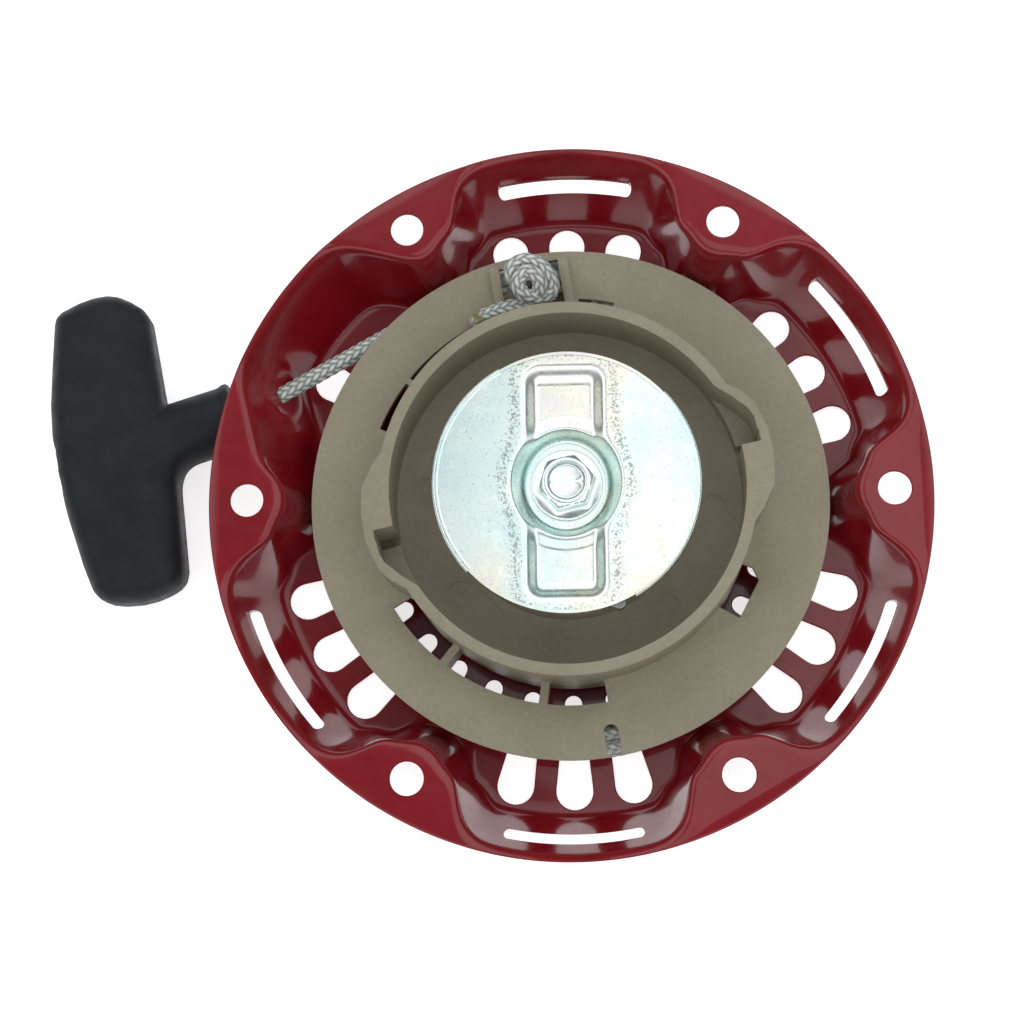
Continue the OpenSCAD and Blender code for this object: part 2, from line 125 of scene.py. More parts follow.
def grid_faces(rows, columns, wrap_rows=False):
    """Quads of a grid of points stored row by row, whose rows are closed rings."""
    r = np.arange(rows if wrap_rows else rows - 1)
    rr, cc = np.meshgrid(r, np.arange(columns), indexing="ij")
    r2, c2 = (rr + 1) % rows, (cc + 1) % columns
    quads = np.stack([rr * columns + cc, rr * columns + c2, r2 * columns + c2, r2 * columns + cc], axis=-1)
    return quads.reshape(-1, 4).tolist()


def modifier(piece, kind, **settings):
    added = piece.modifiers.new(kind.lower(), kind)
    for key, value in settings.items():
        setattr(added, key, value)
    return added


def apply_modifiers(piece):
    """Makes the modified shape the piece's own mesh."""
    bpy.context.view_layer.update()
    shaped = piece.evaluated_get(bpy.context.evaluated_depsgraph_get())
    mesh = bpy.data.meshes.new_from_object(shaped)
    piece.modifiers.clear()
    piece.data = mesh
    return piece


def sharpen(piece, degrees):
    """Smooth shading, with edges over an angle kept sharp."""
    piece.data.polygons.foreach_set("use_smooth", [True] * len(piece.data.polygons))
    piece.data.set_sharp_from_angle(angle=math.radians(degrees))


def join_flat_faces(piece, angle=0.6):
    """Joins doubled points, and then faces that lie within a small angle of each other."""
    shape = bmesh.new()
    shape.from_mesh(piece.data)
    bmesh.ops.remove_doubles(shape, verts=shape.verts, dist=2e-6)
    if angle:
        bmesh.ops.dissolve_limit(shape, angle_limit=math.radians(angle), verts=shape.verts, edges=shape.edges)
    shape.to_mesh(piece.data)
    shape.free()


def round_edges(piece, width_mm, limit=35):
    """Rounds the edges over an angle, and keeps what is left of them sharp."""
    modifier(piece, "BEVEL", width=width_mm * MM, segments=2, limit_method="ANGLE",
             angle_limit=math.radians(limit))
    apply_modifiers(piece)
    sharpen(piece, limit)


def cad_copy(node, name, joined=True):
    """A copy of a CAD node's mesh."""
    piece = bpy.data.objects.new(name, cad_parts[node].data.copy())
    piece.data.materials.clear()
    bpy.context.scene.collection.objects.link(piece)
    join_flat_faces(piece, 0.6 if joined else 0)
    return piece


def rounded_copy(node, name, width_mm):
    """A copy of a CAD node's mesh, with its edges rounded, that stands for the node."""
    piece = cad_copy(node, name)
    round_edges(piece, width_mm)
    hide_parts(node)
    return piece


# ---------------------------------------------------------------- materials

class Nodes:
    """Short forms for the nodes of one material."""

    def __init__(self, name):
        self.material = bpy.data.materials.new(name)
        self.material.use_nodes = True
        self.tree = self.material.node_tree
        self.shader = self.tree.nodes["Principled BSDF"]
        self.place = self.add("ShaderNodeTexCoord").outputs["Object"]

    def add(self, kind, **settings):
        node = self.tree.nodes.new(kind)
        for key, value in settings.items():
            setattr(node, key, value)
        return node

    def link(self, out, into):
        self.tree.links.new(out, into)

    def noise(self, scale, detail=4.0, roughness=0.55, vector=None):
        node = self.add("ShaderNodeTexNoise")
        node.inputs["Scale"].default_value = scale
        node.inputs["Detail"].default_value = detail
        node.inputs["Roughness"].default_value = roughness
        self.link(vector or self.place, node.inputs["Vector"])
        return node.outputs["Fac"]

    def ramp(self, value, *stops):
        node = self.add("ShaderNodeValToRGB")
        elements = node.color_ramp.elements
        while len(elements) < len(stops):
            elements.new(0.5)
        for element, (at, colour) in zip(elements, stops):
            element.position = at
            grey = (colour,) * 3 if isinstance(colour, (int, float)) else colour
            element.color = (*grey, 1)
        self.link(value, node.inputs["Fac"])
        return node.outputs["Color"]

    def mix(self, share, a, b, how="MIX"):
        node = self.add("ShaderNodeMix", data_type="RGBA", blend_type=how)
        for socket, value in zip((node.inputs[0], node.inputs[6], node.inputs[7]), (share, a, b)):
            if hasattr(value, "is_linked"):
                self.link(value, socket)
            elif isinstance(value, tuple):
                socket.default_value = (*value, 1)
            else:
                socket.default_value = value
        return node.outputs[2]

    def math(self, how, a, b=0.0):
        node = self.add("ShaderNodeMath", operation=how)
        for socket, value in zip(node.inputs, (a, b)):
            if hasattr(value, "is_linked"):
                self.link(value, socket)
            else:
                socket.default_value = value
        return node.outputs[0]

    def bump(self, height, strength, distance_mm):
        node = self.add("ShaderNodeBump")
        node.inputs["Strength"].default_value = strength
        node.inputs["Distance"].default_value = distance_mm * MM
        self.link(height, node.inputs["Height"])
        return node.outputs["Normal"]

    def set(self, **inputs):
        for key, value in inputs.items():
            socket = self.shader.inputs[key.replace("_", " ")]
            if hasattr(value, "is_linked"):
                self.link(value, socket)
            else:
                socket.default_value = (*value, 1) if isinstance(value, tuple) else value
        return self.material


def red_enamel():
    n = Nodes("red_enamel")
    colour = n.ramp(n.noise(60, 5), (0.3, (0.185, 0.004, 0.009)), (0.7, (0.24, 0.006, 0.012)))
    peel = n.noise(900, 2)
    rough = n.ramp(n.noise(220, 6), (0.35, 0.16), (0.75, 0.28))
    return n.set(Base_Color=colour, Roughness=rough, Specular_IOR_Level=0.3, Coat_Weight=0.45,
                 Coat_Roughness=0.05, Normal=n.bump(peel, 0.08, 0.15))


def zinc_plate():
    n = Nodes("zinc_plate")
    tint = n.ramp(n.noise(38, 3, 0.5), (0.3, (0.66, 0.86, 0.88)), (0.5, (0.82, 0.93, 0.88)),
                  (0.62, (0.9, 0.9, 0.78)), (0.75, (0.86, 0.82, 0.92)))
    soil = n.add("ShaderNodeAttribute", attribute_name="soil").outputs["Fac"]
    grain = n.math("ADD", n.noise(1500, 5, 0.7), n.math("MULTIPLY", soil, -0.13))
    specks = n.ramp(grain, (0.31, 0.42), (0.40, 1.0))
    rough = n.ramp(n.noise(300, 6), (0.3, 0.2), (0.75, 0.34))
    return n.set(Base_Color=n.mix(1.0, tint, specks, "MULTIPLY"), Metallic=1.0, Roughness=rough,
                 Normal=n.bump(n.noise(1200, 4), 0.05, 0.1))


def bolt_zinc():
    n = Nodes("bolt_zinc")
    tint = n.ramp(n.noise(140, 4), (0.3, (0.70, 0.82, 0.80)), (0.68, (0.88, 0.92, 0.88)),
                  (0.8, (0.62, 0.66, 0.38)))
    rough = n.ramp(n.noise(600, 5), (0.3, 0.14), (0.75, 0.3))
    return n.set(Base_Color=tint, Metallic=1.0, Roughness=rough, Normal=n.bump(n.noise(1500, 4), 0.08, 0.08))


def moulded_nylon():
    n = Nodes("moulded_nylon")
    broad = n.ramp(n.noise(28, 4), (0.3, (0.255, 0.222, 0.152)), (0.7, (0.305, 0.268, 0.188)))
    fine = n.ramp(n.noise(700, 6, 0.65), (0.3, 0.88), (0.7, 1.06))
    rough = n.ramp(n.noise(150, 5), (0.3, 0.42), (0.7, 0.58))
    return n.set(Base_Color=n.mix(1.0, broad, fine, "MULTIPLY"), Roughness=rough,
                 Specular_IOR_Level=0.4, Normal=n.bump(n.noise(1500, 4), 0.12, 0.08))


def black_grip():
    n = Nodes("black_grip")
    colour = n.ramp(n.noise(120, 5), (0.3, (0.007, 0.009, 0.011)), (0.75, (0.014, 0.017, 0.020)))
    rough = n.ramp(n.noise(260, 5), (0.3, 0.44), (0.7, 0.6))
    return n.set(Base_Color=colour, Roughness=rough, Specular_IOR_Level=0.22,
                 Normal=n.bump(n.noise(2600, 3), 0.25, 0.06))


def plain_steel():
    n = Nodes("plain_steel")
    colour = n.ramp(n.noise(160, 6), (0.3, (0.30, 0.31, 0.32)), (0.7, (0.46, 0.47, 0.47)))
    rough = n.ramp(n.noise(500, 5), (0.3, 0.26), (0.7, 0.42))
    return n.set(Base_Color=colour, Metallic=1.0, Roughness=rough,
                 Normal=n.bump(n.noise(1800, 4), 0.1, 0.05))


def spring_steel(name, low, high):
    n = Nodes(name)
    colour = n.ramp(n.noise(240, 4), (0.3, low), (0.7, high))
    rough = n.ramp(n.noise(700, 4), (0.3, 0.2), (0.7, 0.36))
    return n.set(Base_Color=colour, Metallic=1.0, Roughness=rough,
                 Normal=n.bump(n.noise(2400, 3), 0.08, 0.04))


def braided_rope():
    n = Nodes("braided_rope")
    height = n.add("ShaderNodeAttribute", attribute_name="braid").outputs["Fac"]
    burnt = n.add("ShaderNodeAttribute", attribute_name="burnt").outputs["Fac"]
    # Painted shade: the colour runs from near black where the braid sinks between strands up to the rope's
    # own pale grey on the strand tops.
    strand_colour_with_painted_gap_shade = n.ramp(height, (0.0, (0.07, 0.08, 0.07)), (0.45, (0.32, 0.345, 0.32)),
                     (1.0, (0.72, 0.75, 0.71)))
    soil = n.ramp(n.noise(90, 5), (0.3, 0.86), (0.7, 1.08))
    clean = n.mix(1.0, strand_colour_with_painted_gap_shade, soil, "MULTIPLY")
    colour = n.mix(burnt, clean, (0.20, 0.17, 0.05))
    return n.set(Base_Color=colour, Roughness=0.55, Sheen_Weight=0.25, Sheen_Roughness=0.4,
                 Normal=n.bump(n.noise(3500, 3, 0.7), 0.4, 0.12))


RED = red_enamel()
ZINC = zinc_plate()
BOLT = bolt_zinc()
NYLON = moulded_nylon()
BLACK = black_grip()
STEEL = plain_steel()
BLUED = spring_steel("blued_spring", (0.08, 0.09, 0.11), (0.16, 0.17, 0.2))
WIRE = spring_steel("bright_wire", (0.4, 0.41, 0.42), (0.55, 0.56, 0.57))
ROPE = braided_rope()


def finish_piece(piece, material, body):
    piece.data.materials.clear()
    piece.data.materials.append(material)
    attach(piece, body)
    return piece


# ---------------------------------------------------------------- camera, lights and floor

def place_camera():
    """Above the starter and a little to the engine's near side, as the photograph looks at it."""
    data = bpy.data.cameras.new("camera")
    data.sensor_width = 36
    data.lens = 70.31
    camera = bpy.data.objects.new("camera", data)
    bpy.context.scene.collection.objects.link(camera)
    place = Vector((0.01287, -0.10391, 0.52977))
    target = Vector((-0.01522, -0.00467, 0))
    roll = math.radians(0.533)
    back = (place - target).normalized()
    up = (Vector((0, 1, 0)) - Vector((0, 1, 0)).dot(back) * back).normalized()
    right = up.cross(back)
    turned_up = math.cos(roll) * up + math.sin(roll) * right
    turned_right = math.cos(roll) * right - math.sin(roll) * up
    turn = Matrix((turned_right, turned_up, back)).transposed()
    camera.matrix_world = Matrix.Translation(place) @ turn.to_4x4()
    bpy.context.scene.camera = camera


def area_light(name, at, towards, size, power):
    data = bpy.data.lights.new(name, "AREA")
    data.shape = "DISK"
    data.size = size
    data.energy = power
    light = bpy.data.objects.new(name, data)
    bpy.context.scene.collection.objects.link(light)
    light.location = at
    light.rotation_euler = (Vector(towards) - Vector(at)).to_track_quat("-Z", "Y").to_euler()


def light_scene():
    """A dim studio with a bright band of soft boxes half way up, and one box overhead."""
    world = bpy.data.worlds.new("studio")
    bpy.context.scene.world = world
    world.use_nodes = True
    nodes, links = world.node_tree.nodes, world.node_tree.links
    split = nodes.new("ShaderNodeSeparateXYZ")
    links.new(nodes.new("ShaderNodeTexCoord").outputs["Generated"], split.inputs[0])
    band = nodes.new("ShaderNodeValToRGB")
    stops = [(0.0, 0.16), (0.4, 0.22), (0.58, 1.35), (0.88, 1.5), (0.95, 0.25), (1.0, 0.18)]
    while len(band.color_ramp.elements) < len(stops):
        band.color_ramp.elements.new(0.5)
    for element, (at, level) in zip(band.color_ramp.elements, stops):
        element.position = at
        element.color = (level * 0.97, level, level * 1.02, 1)
    links.new(split.outputs["Z"], band.inputs["Fac"])
    links.new(band.outputs["Color"], nodes["Background"].inputs["Color"])
    area_light("overhead", (0.08, 0.14, 1.0), (0, 0, 0), 0.42, 0.55)
    bpy.context.scene.view_settings.view_transform = "Standard"


def lay_floor():
    half = 3000
    level = cad_box[0][2] / MM - 0.15
    corners = [(-half, -half, level), (half, -half, level), (half, half, level), (-half, half, level)]
    floor = new_object("floor", corners, [(0, 1, 2, 3)], smooth=False)
    n = Nodes("pale_floor")
    colour = n.ramp(n.noise(12, 3), (0.3, (0.70, 0.70, 0.70)), (0.7, (0.73, 0.73, 0.73)))
    floor.data.materials.append(n.set(Base_Color=colour, Roughness=0.9, Emission_Color=(1, 1, 1),
                                      Emission_Strength=0.72))


place_camera()
light_scene()
lay_floor()


# ---------------------------------------------------------------- housing

PITCH_R = 87.5
PAD_R = 10.0
SIDE_NORMAL = 138.0
FILLET_R = 14.0
DRAFT = math.tan(math.radians(14))
CONE = 0.411
RIM_R = 98.0
LOBE_R = RIM_R - 1.38
SHEET = 1.2
FLOOR_Z = -27.0
FILLET_REACH = LOBE_R - FILLET_R
FILLET_A = SIDE_NORMAL - math.degrees(
    math.acos((PAD_R + FILLET_R + PITCH_R * math.cos(math.radians(SIDE_NORMAL))) / FILLET_REACH))


def wall_radius(theta, z):
    """The bowl's inner radius in the direction theta, in degrees, at the height z."""
    local = np.radians(np.abs((theta + 30) % 60 - 30))
    pad, fillet = PAD_R - z * DRAFT, FILLET_R + z * DRAFT
    side = math.radians(SIDE_NORMAL)
    meet = np.arctan2(pad * math.sin(side), PITCH_R + pad * math.cos(side))
    on_pad = PITCH_R * np.cos(local) - np.sqrt(np.maximum(pad ** 2 - (PITCH_R * np.sin(local)) ** 2, 0))
    turn = local - math.radians(FILLET_A)
    across = FILLET_REACH * np.sin(turn)
    on_fillet = FILLET_REACH * np.cos(turn) + np.sqrt(np.maximum(fillet ** 2 - across ** 2, 0))
    beyond = (FILLET_REACH + fillet) / np.cos(turn)
    side_r = np.where(local < meet, on_pad, np.where(turn < 0, on_fillet, beyond))
    cone_r = LOBE_R + z * CONE
    plain = soft_min(side_r, cone_r, 2.0)
    rope_side = np.where(theta < 150, gentle_side_radius(theta - 120, z),
                         straight_side_radius(180 - theta, z))
    return np.where((theta > 120) & (theta < 180), rope_side, plain)


def gentle_side_radius(turn, z):
    """The bowl's inner radius beside the pad at 120 degrees, which runs out to the rim in a long curve."""
    early = ease(turn / 15)
    side_r = PITCH_R - PAD_R + 18 * early + 5 * ease(turn / 30) + z * (DRAFT + 0.16 * early)
    return soft_min(side_r, LOBE_R + z * CONE, 2.5)


def straight_side_radius(turn, z):
    """The bowl's inner radius beside the pad at 180 degrees, which runs out to the rim in a straight line."""
    flat_r = (78.6 + z * (0.25 + 0.30 * ease(turn / 20))) / np.cos(np.radians(turn + 14.4))
    inside = (PAD_R - z * DRAFT) ** 2 - (PITCH_R * np.sin(np.radians(turn))) ** 2
    nose_r = PITCH_R * np.cos(np.radians(turn)) - np.sign(inside) * np.sqrt(np.abs(inside))
    return soft_min(soft_min(nose_r, flat_r, 5.0), LOBE_R + z * CONE, 3.0)


def smooth_round(walls, sigma):
    """Radii in even steps of direction, with their corners rounded round the bowl."""
    reach = int(3 * sigma)
    weights = {k: math.exp(-0.5 * (k / sigma) ** 2) for k in range(-reach, reach + 1)}
    return sum(w * np.roll(walls, k, axis=1) for k, w in weights.items()) / sum(weights.values())


def smooth_line(line, sigma):
    """A densely sampled line with its corners rounded and its ends kept."""
    reach = int(4 * sigma)
    before = 2 * line[0] - line[reach:0:-1]
    after = 2 * line[-1] - line[-2:-reach - 2:-1]
    weights = np.exp(-0.5 * (np.arange(-reach, reach + 1) / sigma) ** 2)
    whole = np.concatenate([before, line, after])
    return np.stack([np.convolve(whole[:, k], weights / weights.sum(), "valid") for k in range(2)], axis=-1)


def housing_column(wall_r, z, first_r, last_r):
    """Points (radius, height) of the bowl's inner face along one direction, from the post out to the rim."""
    wall = np.stack([wall_r, z], axis=-1)
    line = np.concatenate([[[first_r, FLOOR_Z]], wall, [[last_r, 0]]])
    at = np.concatenate([[0], np.cumsum(np.linalg.norm(np.diff(line, axis=0), axis=1))])
    samples = 420
    even = np.linspace(0, at[-1], samples)
    dense = np.stack([np.interp(even, at, line[:, k]) for k in range(2)], axis=-1)
    dense = smooth_line(dense, 1.5 * samples / at[-1])
    low, top, end = at[1], at[28], at[-1]
    stops = [0, 0.45 * low, 0.62 * low, 0.8 * low, low - 5.5, low + 5, top - 4, min(top + 4, end - 0.6), end]
    counts = [1, 3, 5, 5, 11, 12, 10, 5]
    stretches = [np.linspace(a, b, c, endpoint=False) for a, b, c in zip(stops, stops[1:], counts)]
    rows = np.concatenate(stretches + [[end]])
    return np.stack([np.interp(rows, even, dense[:, k]) for k in range(2)], axis=-1)


def slot_outline(inner, outer, grow, points=14):
    """A round-ended slot along +X: inner and outer are (distance, radius) of its two ends."""
    (x0, r0), (x1, r1) = inner, outer
    lean = math.degrees(math.asin((r1 - r0) / (x1 - x0)))
    far = np.linspace(-90 - lean, 90 + lean, points)
    near = np.linspace(90 + lean, 270 - lean, points)
    a = polar(r1 + grow, far) + [x1, 0]
    b = polar(r0 + grow, near) + [x0, 0]
    return np.concatenate([a, b])


def loft(rings):
    """Points and faces of a closed solid through rings of equally many points."""
    count = len(rings[0])
    points = np.concatenate(rings)
    faces = grid_faces(len(rings), count)
    faces.append(list(range(count))[::-1])
    faces.append([(len(rings) - 1) * count + i for i in range(count)])
    return points, faces


def join_solids(name, solids):
    points, faces, start = [], [], 0
    for p, f in solids:
        points.append(p)
        faces += [[i + start for i in face] for face in f]
        start += len(p)
    return new_object(name, np.concatenate(points), faces, smooth=False)


def levels(outline_at, steps):
    """Rings of an outline at heights, grown at each: steps are (height, grow)."""
    return loft([np.column_stack([outline_at(g), np.full(len(outline_at(g)), z)]) for z, g in steps])


def edge_steps(low, top, soft, above=1.5):
    """A cutter's heights and growths that break both edges of a sheet between low and top."""
    return [(low - 1.5, soft), (low, soft), (low + soft, 0),
            (top - soft, 0), (top, soft), (top + above, soft)]


PLAIN_LOBES = (30, 90, 210, 270, 330)
SLOT_IN, SLOT_OUT, SLOT_SHORT = (54.4, 2.4), (78.4, 5.1), (65.5, 3.6)
SLIT_R, SLIT_W, SLIT_HALF = RIM_R - 6.2, 2.7, 11.0


def slit_outline(grow):
    half = SLIT_W / 2 + grow
    out = polar(SLIT_R + half, np.linspace(-SLIT_HALF, SLIT_HALF, 25))
    back = polar(SLIT_R - half, np.linspace(SLIT_HALF, -SLIT_HALF, 25))
    end = turned(polar(half, np.linspace(20, 160, 7)) + [SLIT_R, 0], SLIT_HALF)
    start = turned(polar(half, np.linspace(200, 340, 7)) + [SLIT_R, 0], -SLIT_HALF)
    return np.concatenate([out, end, back, start])


def build_housing():
    columns = 720
    theta = np.arange(columns) * 360 / columns
    edge = 0.55
    z = np.linspace(FLOOR_Z, 0, 28)
    walls = smooth_round(wall_radius(theta[None, :], z[:, None]), 2.6)
    profile = np.stack([housing_column(wall_r, z, 7.0, RIM_R - edge) for wall_r in walls.T], axis=1)
    xy = polar(profile[..., 0], theta[None, :])
    face = np.concatenate([xy, profile[..., 1:]], axis=-1)
    face = press_boss(face, face_normals(face)[1])
    along, normal = face_normals(face)
    outward = along[-1] / np.linalg.norm(along[-1], axis=-1, keepdims=True)
    back = face - SHEET * normal
    middle = face[-1] - SHEET / 2 * normal[-1]
    rim = [middle + edge * math.cos(a) * outward + SHEET / 2 * math.sin(a) * normal[-1]
           for a in np.radians([60, 30, 0, -30, -60])]
    rows = np.concatenate([face, np.stack(rim), back[::-1]])
    points = rows.reshape(-1, 3)
    points[:, :2] *= np.minimum(RIM_R / np.linalg.norm(points[:, :2], axis=1), 1)[:, None]
    points[:, 2] = np.clip(points[:, 2], FLOOR_Z - SHEET, 0)
    shell = new_object("housing_shell", points, grid_faces(len(rows), columns, wrap_rows=True))
    cut_housing(shell)
    sharpen(shell, 32)
    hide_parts("housing")
    return finish_piece(shell, RED, "housing")


HOLE = np.array([-80.6, 33.4, -16.0])
HOLE_R = 2.4
RUN = direction(208.9)
BEAD_R = 7.2


def face_normals(face):
    """Directions along the columns of a grid of points, and its unit normals."""
    along = np.gradient(face, axis=0)
    around = np.roll(face, -1, axis=1) - np.roll(face, 1, axis=1)
    normal = np.cross(along, around)
    return along, normal / np.linalg.norm(normal, axis=-1, keepdims=True)


def press_boss(face, normal):
    """Presses a low rounded bead about the rope's hole."""
    away = np.linalg.norm(face - HOLE, axis=-1)
    height = 0.4 * np.exp(-((away - BEAD_R) / 1.4) ** 2)
    return face + height[..., None] * normal


def cut_housing(shell):
    under = FLOOR_Z - SHEET
    solids = []
    slots = [(lobe + 12 * step, SLOT_IN, SLOT_SHORT if abs(step) == 2 else SLOT_OUT)
             for lobe in PLAIN_LOBES for step in (-2, -1, 0, 1, 2)] + [(150, (68, 4), SLOT_OUT)]
    for angle, inner, outer in slots:
        solids.append(levels(lambda g, i=inner, o=outer, a=angle: turned(slot_outline(i, o, g), a),
                             edge_steps(under, FLOOR_Z, 0.3, above=6)))
    for lobe in PLAIN_LOBES:
        solids.append(levels(lambda g, a=lobe: turned(slit_outline(g), a), [(-24, 0), (-2.5, 0)]))
    for pad in range(0, 360, 60):
        centre = polar(PITCH_R, pad)
        solids.append(levels(lambda g, c=centre: polar(4.5 + g, np.linspace(0, 360, 48, endpoint=False)) + c,
                             edge_steps(-SHEET, 0, 0.25)))
    side = np.array([-RUN[1], RUN[0], 0])
    ring = np.radians(np.linspace(0, 360, 32, endpoint=False))
    circle = np.outer(np.cos(ring), side) + np.outer(np.sin(ring), [0, 0, 1])
    solids.append(loft([HOLE + x * RUN + HOLE_R * circle for x in (-8, 0, 9)]))
    cutter = join_solids("cutter", solids)
    modifier(shell, "BOOLEAN", operation="DIFFERENCE", object=cutter, solver="EXACT")
    apply_modifiers(shell)
    bpy.data.objects.remove(cutter)


build_housing()


# ---------------------------------------------------------------- reel, post and pawls

def build_reel():
    """The reel and its cup, which are one moulding."""
    reel = cad_copy("reel", "reel_moulding", joined=False)
    cup = cad_copy("reel_cup", "cup_moulding", joined=False)
    modifier(reel, "BOOLEAN", operation="UNION", object=cup, solver="EXACT")
    apply_modifiers(reel)
    bpy.data.objects.remove(cup)
    join_flat_faces(reel)
    round_edges(reel, 0.35)
    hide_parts("reel", "reel_cup")
    return finish_piece(reel, NYLON, "reel")


build_reel()

STEEL_PIECES = (("centre_post", "post", 0.3, "housing"), ("pawl_a", "pawl_a_hardened", 0.35, "pawl_a"),
                ("pawl_b", "pawl_b_hardened", 0.35, "pawl_b"), ("grip_plate", "knot_washer", 0.3, "handle"))
for node, name, edge_mm, body in STEEL_PIECES:
    finish_piece(rounded_copy(node, name, edge_mm), STEEL, body)


# ---------------------------------------------------------------- guide plate

def plate_recess(x, y):
    """Height of the pressed recess below the plate's face, and the distance inside its outline."""
    r = np.hypot(x, y)
    qx, qy = np.abs(x + 0.3) - 6.2, np.abs(y) - 27.4
    arms = 5 - np.hypot(np.maximum(qx, 0), np.maximum(qy, 0)) - np.minimum(np.maximum(qx, qy), 0)
    inside = -soft_min(-arms, r - 15, 4)
    floor = 3.0 - 0.9 * soft_ramp((18.2 - r) / 3.4)
    ends = 0.3 + 0.7 * soft_ramp((32.4 - np.abs(y)) / 6.6)
    arm = -floor * ends * soft_ramp(inside / 4.3, 0.3)
    bowl = -6.5 * soft_ramp((15.3 + 0.9 * (y / r) ** 2 - r) / 5.0, 0.3)
    return soft_min(arm, bowl, 0.7), inside


def build_guide_plate():
    face_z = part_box("guide_plate")[1][2] / MM
    sheet, bend_r, rim_r, flat_r = 1.0, 1.2, 35.5, 34.8
    bend_at = rim_r - bend_r
    lips = ((120, 222), (300, 402))
    edges = [e + s for lip in lips for e in lip for s in (-0.02, 0.02)]
    theta = np.sort(np.concatenate([np.arange(0.5, 360), np.array(edges) % 360]))
    lipped = np.array([any(a < t < b or a < t + 360 < b for a, b in lips) for t in theta])
    inner = np.linspace(6.6, bend_at - 0.4, 92)
    turn = np.radians(np.linspace(0, 90, 7))[1:]
    down = np.array([1.8, 2.5, 3.4])

    def edge_rows(reach):
        bend = np.column_stack([bend_at + reach * np.sin(turn), reach * np.cos(turn) - bend_r])
        lip = np.concatenate([bend, np.column_stack([np.full(3, bend_at + reach), -down])])
        flat = np.column_stack([np.linspace(bend_at - 0.4, flat_r, 10)[1:], np.full(9, reach - bend_r)])
        return np.where(lipped[None, :, None], lip[:, None, :], flat[:, None, :])

    xy = polar(inner[:, None], theta[None, :])
    recess, inside = plate_recess(xy[..., 0], xy[..., 1])
    soil = np.exp(-((inside + 2.0) / 1.6) ** 2)
    rows, soils = [], []
    for reach, thick in ((bend_r, 0), (bend_r - sheet, sheet)):
        edge = edge_rows(reach)
        edge_xy = polar(edge[..., 0], theta[None, :])
        top = np.concatenate([xy, (face_z + recess - thick)[..., None]], axis=-1)
        rim = np.concatenate([edge_xy, (face_z + edge[..., 1])[..., None]], axis=-1)
        rows.append(np.concatenate([top, rim]))
        soils.append(np.concatenate([soil, np.zeros(edge.shape[:2])]))
    points = np.concatenate([rows[0], rows[1][::-1]])
    plate = new_object("guide_plate_pressing", points.reshape(-1, 3),
                       grid_faces(len(points), len(theta), wrap_rows=True))
    soiled = plate.data.attributes.new("soil", "FLOAT", "POINT")
    soiled.data.foreach_set("value", np.concatenate([soils[0], soils[1][::-1]]).ravel())
    sharpen(plate, 40)
    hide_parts("guide_plate")
    return finish_piece(plate, ZINC, "guide")


build_guide_plate()


# ---------------------------------------------------------------- guide bolt

def build_bolt():
    low, high = (c[2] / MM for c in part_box("guide_bolt"))
    theta = np.arange(0, 360, 2.5)
    flat = np.mod(theta - 12.5, 60) - 30
    hexagon = np.minimum(6.5 / np.cos(np.radians(flat)), 7.35)
    seat = high - 6.5
    rings = [(low, 3.5), (low + 0.5, 4.0), (seat - 0.05, 4.0), (seat, 9.2), (seat + 0.2, 9.5),
             (seat + 0.75, 9.5),
             (seat + 0.98, 9.3), (seat + 1.05, 9.0), (seat + 1.1, 8.6), (seat + 1.35, hexagon + 0.75),
             (seat + 1.55, hexagon + 0.25), (seat + 1.9, hexagon)]
    for z in np.linspace(high - 1.1, high - 0.1, 6):
        rings.append((z, np.minimum(hexagon, 6.0 + (high - z) / 0.62)))
    rings += [(high, 5.85), (high, 5.1), (high - 0.1, 4.95), (high - 0.85, 4.7), (high - 1.05, 4.5),
              (high - 1.1, 4.2), (high - 1.1, 2.0)]
    ones = np.ones(len(theta))
    rows = [np.column_stack([polar(r * ones, theta), z * ones]) for z, r in rings]
    nub = np.exp(-(np.sin(np.radians(theta)) / 0.16) ** 2)
    for row in rows[-4:-2]:
        row[:, 2] += 0.35 * nub
    points = np.concatenate(rows + [[[0, 0, low], [0, 0, high - 1.1]]])
    count, last = len(theta), len(rows) * len(theta)
    faces = grid_faces(len(rows), count)
    faces += [[last, (i + 1) % count, i] for i in range(count)]
    faces += [[last + 1, last - count + i, last - count + (i + 1) % count] for i in range(count)]
    bolt = new_object("guide_bolt_head", points, faces)
    sharpen(bolt, 38)
    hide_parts("guide_bolt")
    return finish_piece(bolt, BOLT, "housing")


build_bolt()


# ---------------------------------------------------------------- rope

ROPE_R = 2.3
LAY = 2.6
CARRIERS = 8


def even_path(points, step):
    """A smooth curve through the points, cut into even steps."""
    points = np.asarray(points, float)
    ghost = np.concatenate([[2 * points[0] - points[1]], points, [2 * points[-1] - points[-2]]])
    t = np.linspace(0, 1, 24)[:-1, None]
    curve = [0.5 * (2 * b + (c - a) * t + (2 * a - 5 * b + 4 * c - d) * t ** 2
                    + (3 * b - a - 3 * c + d) * t ** 3)
             for a, b, c, d in zip(ghost, ghost[1:], ghost[2:], ghost[3:])]
    dense = np.concatenate(curve + [points[-1:]])
    at = np.concatenate([[0], np.cumsum(np.linalg.norm(np.diff(dense, axis=0), axis=1))])
    even = np.linspace(0, at[-1], max(int(at[-1] / step), 2))
    return np.stack([np.interp(even, at, dense[:, k]) for k in range(3)], axis=-1), even


def braid_height(a, b):
    """Height of a braid's surface, 0 to 1, where each strand runs over two and under two."""
    i, j = np.floor(a), np.floor(b)
    phase = np.mod(i + j, 4)
    over = phase < 2
    along = np.where(over, (phase + b - j) / 2, (phase - 2 + a - i) / 2)
    across = np.where(over, a - i, b - j)
    return np.sqrt(np.abs(np.sin(np.pi * across) * np.sin(np.pi * along)))


